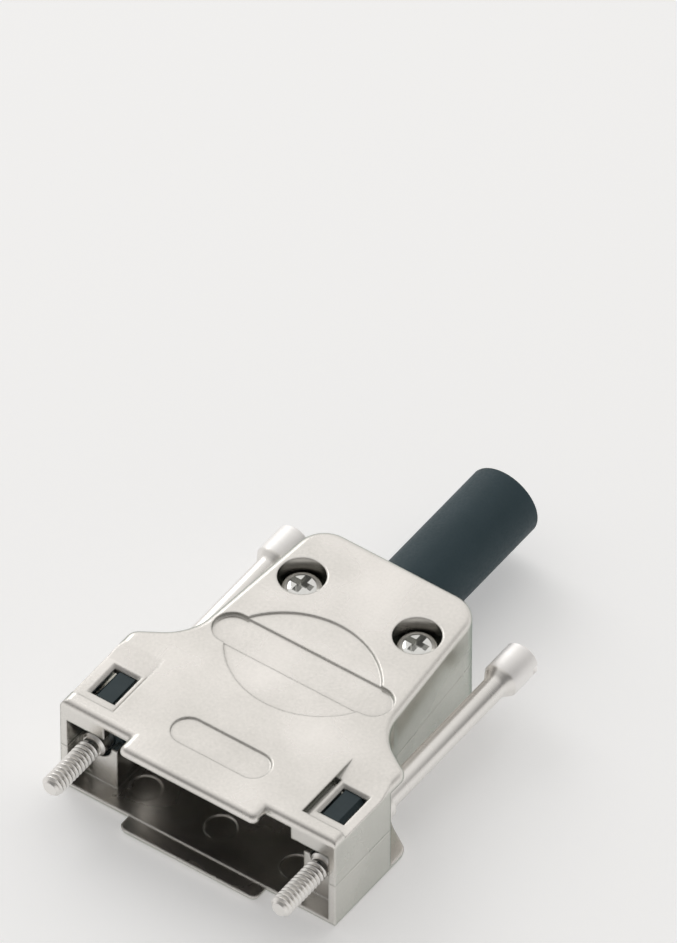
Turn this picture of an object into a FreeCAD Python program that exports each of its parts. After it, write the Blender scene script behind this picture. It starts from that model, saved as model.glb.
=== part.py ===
import FreeCAD, Part
import math
import os
import Sketcher

# Driving dimensions in millimetres. X is the width, Y the depth from the connector face
# at Y = 0 to the cable exit, and Z is up from the flat underside.
SIZES = {
    # How far a cut runs past a face, and how deep an added block is sunk into a wall
    "overrun": 1.0,
    "root": 0.2,
    # Outline shared by both half shells
    "half_height": 7.5,
    "jackscrew_pitch": 33.3,
    "ear_margin": 3.35,
    "shoulder_depth": 14.4,
    "shoulder_round": 1.8,
    "neck_start": 18.2,
    "neck_front_width": 28.0,
    "neck_round": 7.0,
    "neck_rear_width": 24.0,
    "body_depth": 41.5,
    "rear_corner_round": 4.0,
    "edge_round": 1.0,
    "plate": 1.2,
    "neck_wall": 1.3,
    "ear_wall": 1.0,
    "rear_wall": 1.5,
    # Front lip that the connector flange lies between
    "lip_width": 20.0,
    "lip_reach": 2.3,
    "lip_thickness": 1.1,
    "lip_corner_round": 0.9,
    # Ears, their towers, pockets and windows
    "ear_front_recess": 2.6,
    "ear_rear_end": 11.3,
    "tower_rear_end": 9.7,
    "tower_inner_wall": 0.7,
    "tower_rear_wall": 1.2,
    "tower_slope": 1.0,
    "corner_overlap": 0.3,
    "ear_rear_reach": 4.0,
    "ear_rear_taper": 0.2,
    "pocket_front": 4.0,
    "pocket_depth": 4.8,
    "pocket_floor": 0.9,
    "ear_groove_radius": 0.8,
    "ear_groove_floor": 0.8,
    "rest_gap": 0.1,
    "ear_sink": 0.8,
    "ear_sink_front": 2.1,
    "ear_ramp_start": 9.4,
    "ear_ramp_end": 12.4,
    "ear_roof": 1.2,
    "ear_slot_width": 0.5,
    "ear_slot_gap": 0.8,
    "slot_hole_length": 0.7,
    "window_width": 3.3,
    "window_chamfer": 0.4,
    "curtain_thickness": 1.2,
    "curtain_drop": 1.0,
    # Screw bosses
    "cover_screw_pitch": 16.8,
    "cover_screw_inset": 8.5,
    "boss_rim_radius": 2.3,
    "boss_rim_height": 0.4,
    "boss_rim_gap": 0.3,
    "strap_screw_pitch": 16.0,
    "screw_row_gap": 7.1,
    "strap_boss_radius": 2.7,
    "strap_boss_drop": 0.7,
    "boss_point_reach": 1.6,
    "boss_point_front": 0.7,
    "boss_point_rear": 0.5,
    "boss_flank_front": 0.2,
    "boss_flank_rear": 0.6,
    "hole_floor": 0.9,
    "boss_clearance": 1.5,
    "head_recess_radius": 3.0,
    "head_recess_depth": 3.6,
    # Cable channel, trough, collar pocket and rear opening
    "channel_width": 11.6,
    "channel_drop": 3.0,
    "rear_opening_floor": 0.6,
    "bulge_gap": 0.5,
    "seat_reach": 4.3,
    "seat_height": 0.3,
    "seat_front_width": 6.0,
    "seat_slope": 1.0,
    "seat_flare": 0.4,
    "seat_pocket_width": 8.4,
    "seat_pocket_depth": 3.6,
    "seat_pocket_corner": 0.85,
    "seat_mark_radius": 1.5,
    # Ejector marks on the inner face of the floor
    "mark_radius": 2.0,
    "mark_depth": 0.15,
    "mark_front_row": 4.7,
    "mark_front_spread": 11.0,
    "mark_rear_row": 18.7,
    "mark_rear_spread": 7.9,
    "trough_mark_row": 32.1,
    # Emblem and index recesses on the cover
    "oval_length": 20.6,
    "oval_width": 15.5,
    "oval_end_radius": 5.5,
    "oval_centre": 21.4,
    "band_length": 25.5,
    "band_width": 5.0,
    "recess_depth": 0.25,
    "pill_length": 13.8,
    "pill_width": 4.4,
    "pill_centre": 4.8,
    # Screws
    "shank_radius": 1.42,
    "tip_chamfer": 0.4,
    "tip_taper": 0.6,
    "thread_gap": 0.08,
    "screw_pass_gap": 0.25,
    "boss_room_height": 3.4,
    "head_radius": 2.75,
    "head_height": 2.3,
    "head_round": 1.5,
    "cross_width": 0.9,
    "cross_reach": 1.5,
    "cross_depth": 1.2,
    "cover_screw_length": 9.4,
    "strap_screw_length": 5.6,
    # Strap
    "strap_thickness": 0.8,
    "strap_width": 6.0,
    "arch_span": 9.4,
    "arch_rise": 3.0,
    "tab_width": 5.0,
    "tab_reach": 5.2,
    "tab_drop": 0.9,
    "tab_window": 2.2,
    "tab_window_setback": 1.7,
    "tab_root": 0.4,
    # Saddle
    "saddle_width": 11.4,
    "saddle_depth": 8.8,
    "saddle_trough_radius": 4.7,
    "saddle_groove": 0.35,
    "saddle_first_groove": 0.4,
    "saddle_groove_pitch": 0.95,
    "saddle_middle_drop": 0.4,
    "saddle_centre_lift": 1.2,
    "saddle_notch_depth": 1.1,
    "saddle_notch_reach": 2.0,
    "saddle_foot_step": 1.1,
    "saddle_foot_notch": 0.8,
    "saddle_foot_length": 1.2,
    "saddle_rear_recess": 0.9,
    "saddle_shelf": 1.6,
    "seat_gap": 0.05,
    # Half collars and boot
    "collar_width": 15.0,
    "collar_half_height": 5.35,
    "collar_depth": 3.8,
    "collar_web": 1.2,
    "collar_wall": 0.8,
    "collar_chamfer": 1.3,
    "collar_bulge": 0.7,
    "bulge_slope": 1.6,
    "channel_chamfer": 1.0,
    "fit_gap": 0.05,
    "boot_radius": 4.9,
    "boot_bore_radius": 3.9,
    "boot_length": 26.0,
    "flange_thickness": 1.8,
    "flange_chamfer": 1.3,
    "flange_round": 0.35,
    # Jackscrew, measured along its length from the threaded tip
    "tip_reach": 6.8,
    "jack_thread_radius": 1.42,
    "jack_thread_length": 8.0,
    "jack_tip_chamfer": 0.5,
    "jack_chamfer": 0.3,
    "jack_neck_radius": 1.2,
    "jack_neck_length": 0.6,
    "jack_body_radius": 1.67,
    "jack_groove_start": 12.9,
    "jack_groove_width": 0.5,
    "jack_groove_pitch": 1.1,
    "jack_groove_depth": 0.3,
    "jack_collar_start": 19.8,
    "jack_collar_length": 1.2,
    "jack_collar_radius": 2.1,
    "jack_shaft_radius": 1.5,
    "jack_shaft_end": 44.0,
    "jack_flare_length": 1.4,
    "jack_head_radius": 2.35,
    "jack_head_length": 4.6,
    "jack_slot_width": 0.9,
    "jack_slot_depth": 1.2,
    # Retaining clip
    "clip_arm_top": 6.2,
    "clip_plate_top": 2.4,
    "clip_foot_gap": 1.4,
    "clip_foot_height": 1.3,
    "clip_foot_taper": 0.2,
    "clip_toe_height": 0.7,
    "clip_chamfer": 0.5,
    "clip_wall": 1.1,
    "clip_bridge_top": 0.6,
    "clip_arm_root": 1.4,
    "clip_arm_lean": 0.3,
    "clip_hook_height": 2.0,
    "clip_hook_gap": 0.3,
    "clip_hook_lead": 0.6,
    "clip_back_lead": 1.6,
    "clip_back_reach": 2.0,
    "clip_back_top": 1.9,
    "clip_barb_reach": 0.6,
    "clip_barb_top": 1.2,
}


# Positions closer together than this many millimetres count as the same
NEAR = 0.01


def make_sheet(doc):
    """Write each driving dimension as a plain number with its alias."""
    sheet = doc.addObject("Spreadsheet::Sheet", "Sizes")
    for row, (alias, value) in enumerate(SIZES.items(), start=1):
        sheet.set("A%d" % row, alias)
        sheet.set("B%d" % row, str(value))
        sheet.setAlias("B%d" % row, alias)
    doc.recompute()
    return sheet


def new_body(doc, label):
    body = doc.addObject("PartDesign::Body", label)
    body.Label = label
    return body


def sketch_on(body, name, plane, offset="0"):
    """Attach a sketch to one of the body's origin planes, shifted along its normal."""
    sketch = body.newObject("Sketcher::SketchObject", name)
    support = next(item for item in body.Origin.OriginFeatures if item.Role == plane)
    sketch.AttachmentSupport = (support, [""])
    sketch.MapMode = "FlatFace"
    sketch.setExpression("AttachmentOffset.Base.z", offset)
    return sketch


def dimension(sketch, expression, kind, *where):
    """Add a dimension that starts at its real value and follows an expression."""
    value = float(sketch.evalExpression(expression))
    index = sketch.addConstraint(Sketcher.Constraint(kind, *where, value))
    sketch.setExpression("Constraints[%d]" % index, expression)


def fix_point(sketch, geometry, point, where):
    """Tie one point's two coordinates to a pair of expressions."""
    x, y = where
    dimension(sketch, x, "DistanceX", geometry, point)
    dimension(sketch, y, "DistanceY", geometry, point)


def polygon(sketch, corners):
    """Close a chain of straight lines through corners given as pairs of expressions."""
    first = len(sketch.Geometry)
    count = len(corners)
    for i in range(count):
        start = FreeCAD.Vector(i, i * i, 0)
        end = FreeCAD.Vector(i + 1, (i + 1) ** 2, 0)
        sketch.addGeometry(Part.LineSegment(start, end), False)
    for i in range(count):
        following = first + (i + 1) % count
        sketch.addConstraint(Sketcher.Constraint("Coincident", first + i, 2, following, 1))
        fix_point(sketch, first + i, 1, corners[i])


def rectangle(sketch, x_low, x_high, y_low, y_high):
    polygon(sketch, [(x_low, y_low), (x_high, y_low), (x_high, y_high), (x_low, y_high)])


def circle(sketch, x, y, radius):
    geometry = sketch.addGeometry(Part.Circle(FreeCAD.Vector(1, 1, 0), FreeCAD.Vector(0, 0, 1), 1))
    fix_point(sketch, geometry, 3, (x, y))
    dimension(sketch, radius, "Radius", geometry)


def pad(body, name, sketch, length, reverse=False):
    feature = body.newObject("PartDesign::Pad", name)
    feature.Profile = sketch
    feature.setExpression("Length", length)
    feature.Reversed = reverse
    return feature


def pocket(body, name, sketch, length, reverse=False):
    feature = body.newObject("PartDesign::Pocket", name)
    feature.Profile = sketch
    feature.setExpression("Length", length)
    feature.Reversed = reverse
    return feature


def revolve(body, name, sketch):
    """Turn a profile once round its sketch's own upright axis."""
    feature = body.newObject("PartDesign::Revolution", name)
    feature.Profile = sketch
    feature.ReferenceAxis = (sketch, ["V_Axis"])
    feature.Angle = 360
    return feature


def round_edges(body, name, chosen, radius, kind="Fillet"):
    """Fillet or chamfer the edges of the body's tip that pass the test chosen."""
    body.Document.recompute()
    tip = body.Tip
    names = ["Edge%d" % (i + 1) for i, edge in enumerate(tip.Shape.Edges) if chosen(edge)]
    if not names:
        raise ValueError("no edge to round for " + name)
    feature = body.newObject("PartDesign::" + kind, name)
    feature.Base = (tip, names)
    feature.setExpression("Radius" if kind == "Fillet" else "Size", radius)
    return feature


def upright_at(places, reach=0.6):
    """Test for upright edges near one of the places (x, y)."""
    def chosen(edge):
        box = edge.BoundBox
        if box.ZLength < reach or box.XLength > NEAR or box.YLength > NEAR:
            return False
        return any(abs(box.XMin - x) < reach and abs(box.YMin - y) < reach for x, y in places)
    return chosen


def cut_along_depth(body, name, discs, start, length):
    """Cut round holes along +Y from Y = start; discs are (x, z, radius) expressions."""
    sketch = sketch_on(body, name + "_sketch", "XZ_Plane", "-(" + start + ")")
    for disc in discs:
        circle(sketch, *disc)
    return pocket(body, name, sketch, length)


class HalfShell:
    """One half shell; every level is a distance outward from the parting plane."""

    def __init__(self, doc, label, outward):
        self.doc = doc
        self.body = new_body(doc, label)
        self.outward = outward

    def level(self, distance):
        """Height of the plane that lies a distance outward from the parting plane."""
        sign = "+" if self.outward > 0 else "-"
        return "Sizes.half_height %s (%s)" % (sign, distance)

    def sketch(self, name, distance="0"):
        return sketch_on(self.body, name + "_sketch", "XY_Plane", self.level(distance))

    def grow(self, name, sketch, length):
        """Add material outward from the sketch."""
        return pad(self.body, name, sketch, length, reverse=self.outward < 0)

    def cut(self, name, sketch, length):
        """Remove material outward from the sketch."""
        return pocket(self.body, name, sketch, length, reverse=self.outward > 0)


def both_sides(corners):
    """The same corners on the right and mirrored to the left."""
    for side in ("1", "-1"):
        yield [("%s * (%s)" % (side, x), y) for x, y in corners]


PITCH = "Sizes.jackscrew_pitch / 2"
EAR = "(" + PITCH + " + Sizes.ear_margin)"
CAVITY = "Sizes.half_height - Sizes.plate"
POCKET_OUTER = EAR + " - Sizes.ear_wall"
POCKET_INNER = PITCH + " - Sizes.ear_margin + Sizes.ear_wall"
TOWER_INNER = POCKET_INNER + " - Sizes.tower_inner_wall"
EAR_ROOM_INNER = TOWER_INNER + " - Sizes.overrun / 2"
COLLAR_REAR = "Sizes.body_depth - Sizes.rear_wall"
COLLAR_FRONT = COLLAR_REAR + " - Sizes.collar_depth - 2 * Sizes.fit_gap"
CHANNEL = "Sizes.channel_width / 2"
COVER_SCREW_ROW = "(Sizes.body_depth - Sizes.cover_screw_inset)"
STRAP_SCREW_ROW = "(" + COVER_SCREW_ROW + " - Sizes.screw_row_gap)"
SEAT_FRONT = "(" + STRAP_SCREW_ROW + " - Sizes.seat_reach)"


def neck_half_width(depth):
    """Half the neck's outer width at a depth, on its straight taper."""
    share = "(%s - Sizes.neck_start) / (Sizes.body_depth - Sizes.neck_start)" % depth
    narrowing = "(Sizes.neck_front_width - Sizes.neck_rear_width) / 2"
    return "Sizes.neck_front_width / 2 - %s * %s" % (narrowing, share)


def shell_outline(shell, sizes):
    """The eared outline with its S-shaped shoulders, its lip and its rounded outer edge."""
    sketch = shell.sketch("outline")
    right = [
        (EAR, "0"),
        (EAR, "Sizes.shoulder_depth"),
        ("Sizes.neck_front_width / 2", "Sizes.neck_start"),
        ("Sizes.neck_rear_width / 2", "Sizes.body_depth"),
    ]
    left = [("-(%s)" % x, y) for x, y in reversed(right)]
    polygon(sketch, right + left)
    shell.grow("outline", sketch, "Sizes.half_height")
    ear = sizes.jackscrew_pitch / 2 + sizes.ear_margin
    corners = {
        "shoulders": (ear, sizes.shoulder_depth, "Sizes.shoulder_round"),
        "neck_curves": (sizes.neck_front_width / 2, sizes.neck_start, "Sizes.neck_round"),
        "rear_corners": (sizes.neck_rear_width / 2, sizes.body_depth, "Sizes.rear_corner_round"),
    }
    for name, (x, y, radius) in corners.items():
        round_edges(shell.body, name, upright_at([(x, y), (-x, y)]), radius)
    lip = shell.sketch("lip", "Sizes.half_height - Sizes.lip_thickness")
    rectangle(lip, "-Sizes.lip_width / 2", "Sizes.lip_width / 2", "-Sizes.lip_reach",
              "Sizes.overrun")
    shell.grow("lip", lip, "Sizes.lip_thickness")
    tips = [(side * sizes.lip_width / 2, -sizes.lip_reach) for side in (-1, 1)]
    round_edges(shell.body, "lip_corners", upright_at(tips), "Sizes.lip_corner_round")
    outer = sizes.half_height * (1 + shell.outward)

    def on_outer_face(edge):
        return abs(edge.BoundBox.ZMin - outer) < NEAR and abs(edge.BoundBox.ZMax - outer) < NEAR

    round_edges(shell.body, "outer_edge", on_outer_face, "Sizes.edge_round")


def hollow_cavity(shell, boss_room):
    """The wiring space, from the open front back to the strap screw bosses."""
    sketch = shell.sketch("cavity")
    inner_front = "Sizes.neck_front_width / 2 - Sizes.neck_wall"
    tower_rear = "Sizes.tower_rear_end - Sizes.tower_rear_wall"
    boss_line = STRAP_SCREW_ROW
    right = [
        (TOWER_INNER, "-Sizes.overrun"),
        (TOWER_INNER, tower_rear),
        (inner_front + " + Sizes.corner_overlap", tower_rear + " + Sizes.tower_slope"),
        (inner_front, "Sizes.neck_start"),
        (neck_half_width(boss_line) + " - Sizes.neck_wall", boss_line),
    ]
    left = [("-(%s)" % x, y) for x, y in reversed(right)]
    polygon(sketch, right + left)
    shell.cut("cavity", sketch, CAVITY)
    around = shell.sketch("boss_room")
    for side in ("-", ""):
        circle(around, side + "Sizes.strap_screw_pitch / 2", boss_line,
               "Sizes.strap_boss_radius + Sizes.boss_clearance")
    shell.cut("boss_room", around, boss_room)


def cut_cable_way(shell):
    """The channel between the screw blocks, its trough, the collar pocket and the exit."""
    body = shell.body
    sketch = shell.sketch("channel")
    start = STRAP_SCREW_ROW + " - Sizes.overrun"
    end = COLLAR_FRONT + " + Sizes.overrun / 2"
    rectangle(sketch, "-(" + CHANNEL + ")", CHANNEL, start, end)
    shell.cut("channel", sketch, "Sizes.channel_drop")
    cut_along_depth(body, "trough", [("0", "Sizes.half_height", CHANNEL)], start, end + " - (" + start + ")")
    pocket_sketch = shell.sketch("collar_pocket")
    half = "(Sizes.collar_width / 2 + Sizes.fit_gap)"
    rectangle(pocket_sketch, "-" + half, half, COLLAR_FRONT, COLLAR_REAR)
    shell.cut("collar_pocket", pocket_sketch, "Sizes.collar_half_height + Sizes.fit_gap")
    bulge = shell.sketch("bulge_room", "Sizes.collar_half_height")
    bulge_half = "(Sizes.boot_radius + Sizes.bulge_gap)"
    rectangle(bulge, "-" + bulge_half, bulge_half, COLLAR_FRONT, COLLAR_REAR)
    shell.cut("bulge_room", bulge, "Sizes.collar_bulge + Sizes.fit_gap")
    opening = "Sizes.half_height - Sizes.rear_opening_floor"
    cut_along_depth(body, "rear_opening", [("0", "Sizes.half_height", opening)],
                    COLLAR_REAR + " - Sizes.fit_gap", "Sizes.rear_wall + Sizes.overrun")


def open_ears(shell, front_recess, front_height):
    """The seat in front of each ear and the way out behind it for the jackscrew."""
    sketch = shell.sketch("ear_rear")
    wall = "Sizes.neck_front_width / 2 + Sizes.corner_overlap"
    rear = "Sizes.neck_start + Sizes.ear_rear_reach"
    for corners in both_sides([
        (wall, "Sizes.tower_rear_end"),
        (EAR + " - Sizes.ear_wall", "Sizes.tower_rear_end"),
        (EAR + " - Sizes.ear_wall", "Sizes.ear_rear_end"),
        (EAR + " + Sizes.overrun", "Sizes.ear_rear_end"),
        (EAR + " + Sizes.overrun", rear),
        ("Sizes.neck_front_width / 2 - Sizes.ear_rear_taper", rear),
        ("Sizes.neck_front_width / 2", "Sizes.neck_start"),
    ]):
        polygon(sketch, corners)
    shell.cut("ear_rear", sketch, CAVITY)
    front = shell.sketch("ear_front")
    for corners in both_sides([
        (EAR_ROOM_INNER, "-Sizes.overrun"),
        (POCKET_OUTER, "-Sizes.overrun"),
        (POCKET_OUTER, front_recess),
        (EAR_ROOM_INNER, front_recess),
    ]):
        polygon(front, corners)
    shell.cut("ear_front", front, front_height)


def hollow_ears(shell, height):
    """The room in each ear of the cover above the clip and the jackscrew."""
    sketch = shell.sketch("ear_room")
    for corners in both_sides([
        (EAR_ROOM_INNER, "Sizes.curtain_thickness"),
        (POCKET_OUTER, "Sizes.curtain_thickness"),
        (POCKET_OUTER, "Sizes.ear_rear_end"),
        (EAR_ROOM_INNER, "Sizes.tower_rear_end"),
    ]):
        polygon(sketch, corners)
    shell.cut("ear_room", sketch, height)


def make_lower_shell(doc, sizes):
    shell = HalfShell(doc, "lower_shell", -1)
    body = shell.body
    shell_outline(shell, sizes)
    hollow_cavity(shell, CAVITY)
    cut_cable_way(shell)
    open_ears(shell, "Sizes.ear_front_recess", CAVITY)
    add_strap_bosses(shell)
    add_seat(shell)
    cut_tower_details(shell)
    rims = shell.sketch("boss_rims")
    holes = shell.sketch("cover_screw_holes", "-Sizes.boss_rim_height")
    marks = shell.sketch("ejector_marks", CAVITY)
    for side in ("-", ""):
        circle(rims, side + "Sizes.cover_screw_pitch / 2", COVER_SCREW_ROW, "Sizes.boss_rim_radius")
        circle(holes, side + "Sizes.cover_screw_pitch / 2", COVER_SCREW_ROW,
               "Sizes.shank_radius + Sizes.thread_gap")
        circle(marks, side + "Sizes.mark_rear_spread", "Sizes.mark_rear_row", "Sizes.mark_radius")
        circle(marks, side + "Sizes.mark_front_spread", "Sizes.mark_front_row", "Sizes.mark_radius")
    circle(marks, "0", "Sizes.mark_front_row", "Sizes.mark_radius")
    pad(body, "boss_rims", rims, "Sizes.boss_rim_height")
    shell.cut("cover_screw_holes", holes, "Sizes.half_height - Sizes.hole_floor + Sizes.boss_rim_height")
    shell.cut("ejector_marks", marks, "Sizes.mark_depth")
    return body


def add_strap_bosses(shell):
    """Two drop-shaped threaded bosses that carry the strap."""
    low = "Sizes.strap_boss_drop"
    bosses = shell.sketch("strap_bosses", low)
    points = shell.sketch("boss_points", low)
    holes = shell.sketch("strap_screw_holes", low)
    x = "Sizes.strap_screw_pitch / 2"
    y = STRAP_SCREW_ROW
    radius = "Sizes.strap_boss_radius"
    tip = x + " + " + radius + " + Sizes.boss_point_reach"
    for side in ("-", ""):
        circle(bosses, side + x, y, radius)
        circle(holes, side + x, y, "Sizes.shank_radius + Sizes.thread_gap")
    for corners in both_sides([
        (CHANNEL, y + " - " + radius + " + Sizes.boss_flank_front"),
        (x, y + " - " + radius),
        (tip, y + " - Sizes.boss_point_front"),
        (tip, y + " + Sizes.boss_point_rear"),
        (x, y + " + " + radius),
        (CHANNEL, y + " + " + radius + " - Sizes.boss_flank_rear"),
    ]):
        polygon(points, corners)
    height = CAVITY + " - " + low + " + Sizes.root"
    shell.grow("strap_bosses", bosses, height)
    shell.grow("boss_points", points, height)
    shell.cut("strap_screw_holes", holes, "Sizes.half_height - Sizes.hole_floor - " + low)


def add_seat(shell):
    """The raised seat that the saddle stands on, its pocket and the marks round it."""
    top = CAVITY + " - Sizes.seat_height"
    rear = SEAT_FRONT + " + Sizes.saddle_depth + 4 * Sizes.fit_gap"
    front = SEAT_FRONT + " + Sizes.seat_slope"
    room = shell.sketch("saddle_room")
    rectangle(room, "-(" + CHANNEL + ")", CHANNEL, front, rear)
    shell.cut("saddle_room", room, top)
    seat = shell.sketch("seat", top)
    side = "(" + CHANNEL + " + Sizes.seat_flare)"
    polygon(seat, [
        ("-" + side, front),
        ("-Sizes.seat_front_width / 2", SEAT_FRONT),
        ("Sizes.seat_front_width / 2", SEAT_FRONT),
        (side, front),
        (side, rear),
        ("-" + side, rear),
    ])
    shell.grow("seat", seat, "Sizes.seat_height + Sizes.root")
    dip = shell.sketch("seat_pocket", top)
    half = "Sizes.seat_pocket_width / 2"
    corner = "Sizes.seat_pocket_corner"
    end = front + " + Sizes.seat_pocket_depth"
    polygon(dip, [
        ("-" + half, front),
        (half + " - " + corner, front),
        (half, front + " + " + corner),
        (half, end + " - " + corner),
        (half + " - " + corner, end),
        ("-" + half, end),
    ])
    shell.cut("seat_pocket", dip, "Sizes.seat_height")
    mark = shell.sketch("seat_mark", CAVITY)
    circle(mark, "0", front + " + Sizes.seat_pocket_depth / 2", "Sizes.seat_mark_radius")
    shell.cut("seat_mark", mark, "Sizes.mark_depth")
    flat = shell.sketch("trough_mark")
    circle(flat, "0", "Sizes.trough_mark_row", "Sizes.mark_radius")
    shell.cut("trough_mark", flat, CHANNEL + " + Sizes.mark_depth")


def cut_tower_details(shell):
    """The clip pocket, the half-round screw rests and the groove of each ear tower."""
    body = shell.body
    pockets = shell.sketch("clip_pockets")
    grooves = shell.sketch("front_grooves")
    groove = "(" + POCKET_OUTER + " - Sizes.ear_groove_radius)"
    for corners in both_sides([
        (POCKET_INNER, "Sizes.pocket_front"),
        (POCKET_OUTER, "Sizes.pocket_front"),
        (POCKET_OUTER, "Sizes.pocket_front + Sizes.pocket_depth"),
        (POCKET_INNER, "Sizes.pocket_front + Sizes.pocket_depth"),
    ]):
        polygon(pockets, corners)
    for side in ("-", ""):
        circle(grooves, side + groove, "Sizes.ear_front_recess", "Sizes.ear_groove_radius")
    shell.cut("clip_pockets", pockets, CAVITY + " - Sizes.pocket_floor")
    shell.cut("front_grooves", grooves, CAVITY + " - Sizes.ear_groove_floor")
    rest = "Sizes.jack_collar_radius + Sizes.rest_gap"
    discs = [(side + PITCH, "Sizes.half_height", rest) for side in ("-", "")]
    cut_along_depth(body, "screw_rests", discs, "-Sizes.overrun",
                    "Sizes.ear_rear_end + 2 * Sizes.overrun")


def make_cover(doc, sizes):
    shell = HalfShell(doc, "cover", 1)
    body = shell.body
    shell_outline(shell, sizes)
    hollow_cavity(shell, "Sizes.boss_room_height")
    cut_cable_way(shell)
    ear_room = "Sizes.half_height - Sizes.ear_sink - Sizes.ear_roof"
    open_ears(shell, "Sizes.curtain_thickness", ear_room + " - Sizes.curtain_drop")
    hollow_ears(shell, ear_room)
    cut_ear_tops(shell, sizes)
    cut_screw_seats(shell)
    cut_emblem(shell, sizes)
    return body


def cut_ear_tops(shell, sizes):
    """The sunk ear tops with their slots and windows for the clips."""
    top = "Sizes.half_height"
    sink = shell.sketch("ear_sinks", top)
    slot = shell.sketch("ear_slots", top)
    hole = shell.sketch("slot_holes", top)
    window = shell.sketch("ear_windows", top)
    slot_outer = PITCH + " - Sizes.window_width / 2 - Sizes.ear_slot_gap"
    inner = slot_outer + " - Sizes.ear_slot_width"
    for corners in both_sides([
        (inner, "Sizes.ear_sink_front"),
        (EAR + " + Sizes.overrun", "Sizes.ear_sink_front"),
        (EAR + " + Sizes.overrun", "Sizes.ear_ramp_start"),
        (inner, "Sizes.ear_ramp_start"),
    ]):
        polygon(sink, corners)
    for corners in both_sides([
        (PITCH + " - Sizes.window_width / 2", "Sizes.pocket_front"),
        (PITCH + " + Sizes.window_width / 2", "Sizes.pocket_front"),
        (PITCH + " + Sizes.window_width / 2", "Sizes.pocket_front + Sizes.pocket_depth"),
        (PITCH + " - Sizes.window_width / 2", "Sizes.pocket_front + Sizes.pocket_depth"),
    ]):
        polygon(window, corners)
    for corners in both_sides([
        (inner, "Sizes.ear_sink_front"),
        (slot_outer, "Sizes.ear_sink_front"),
        (slot_outer, "Sizes.ear_ramp_start"),
        (inner, "Sizes.ear_ramp_start"),
    ]):
        polygon(slot, corners)
    inward_cut(shell, "ear_sinks", sink, "Sizes.ear_sink")
    cut_ear_ramps(shell, inner)
    for corners in both_sides([
        (inner, "Sizes.ear_ramp_start - Sizes.slot_hole_length"),
        (slot_outer, "Sizes.ear_ramp_start - Sizes.slot_hole_length"),
        (slot_outer, "Sizes.ear_ramp_start"),
        (inner, "Sizes.ear_ramp_start"),
    ]):
        polygon(hole, corners)
    inward_cut(shell, "ear_slots", slot, "Sizes.ear_sink + Sizes.ear_roof / 2")
    through = "Sizes.ear_sink + Sizes.ear_roof + Sizes.overrun"
    inward_cut(shell, "slot_holes", hole, through)
    inward_cut(shell, "ear_windows", window, through)
    sunk = 2 * sizes.half_height - sizes.ear_sink
    reach = sizes.window_width / 2 + NEAR
    front = sizes.pocket_front - NEAR
    rear = sizes.pocket_front + sizes.pocket_depth + NEAR

    def window_rim(edge):
        box = edge.BoundBox
        level = abs(box.ZMin - sunk) < NEAR and abs(box.ZMax - sunk) < NEAR
        across = abs(abs(box.Center.x) - sizes.jackscrew_pitch / 2) < reach
        along = front < box.YMin and box.YMax < rear
        return level and across and along

    round_edges(shell.body, "window_chamfers", window_rim, "Sizes.window_chamfer", "Chamfer")


def cut_ear_ramps(shell, inner):
    """The slope from each sunk ear top back up to the shoulder."""
    top = "2 * Sizes.half_height"
    outer = EAR + " + Sizes.overrun"
    front = "Sizes.ear_ramp_start - Sizes.overrun / 2"
    for side, start in (("left", "-(" + outer + ")"), ("right", inner)):
        ramp = sketch_on(shell.body, side + "_ramp_sketch", "YZ_Plane", start)
        polygon(ramp, [
            (front, top + " - Sizes.ear_sink"),
            ("Sizes.ear_ramp_start", top + " - Sizes.ear_sink"),
            ("Sizes.ear_ramp_end", top),
            ("Sizes.ear_ramp_end", top + " + Sizes.overrun"),
            (front, top + " + Sizes.overrun"),
        ])
        pocket(shell.body, side + "_ramp", ramp, outer + " - (" + inner + ")", reverse=True)


def inward_cut(shell, name, sketch, length):
    """Remove material from the outer face towards the parting plane."""
    return pocket(shell.body, name, sketch, length, reverse=shell.outward < 0)


def cut_screw_seats(shell):
    """Counterbores for the cover screw heads, their holes and the rooms for the boss rims."""
    seats = shell.sketch("head_recesses", "Sizes.half_height")
    holes = shell.sketch("screw_ways")
    rims = shell.sketch("rim_rooms")
    for side in ("-", ""):
        place = (side + "Sizes.cover_screw_pitch / 2", COVER_SCREW_ROW)
        circle(seats, *place, "Sizes.head_recess_radius")
        circle(holes, *place, "Sizes.shank_radius + Sizes.screw_pass_gap")
        circle(rims, *place, "Sizes.boss_rim_radius + Sizes.boss_rim_gap")
    inward_cut(shell, "head_recesses", seats, "Sizes.head_recess_depth")
    shell.cut("screw_ways", holes, "Sizes.half_height")
    shell.cut("rim_rooms", rims, "Sizes.boss_rim_height + Sizes.boss_rim_gap")


def cut_emblem(shell, sizes):
    """Blank recesses on the cover: an oval crossed by a band, and a small pill."""
    oval = shell.sketch("oval", "Sizes.half_height")
    draw_oval(oval, sizes)
    inward_cut(shell, "oval", oval, "Sizes.recess_depth")
    for name, length, width, centre, depth in (
        ("band", "Sizes.band_length", "Sizes.band_width", "Sizes.oval_centre", "2 * Sizes.recess_depth"),
        ("pill", "Sizes.pill_length", "Sizes.pill_width", "Sizes.pill_centre", "Sizes.recess_depth"),
    ):
        sketch = shell.sketch(name, "Sizes.half_height")
        slot(sketch, centre, length, width)
        inward_cut(shell, name, sketch, depth)


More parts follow.
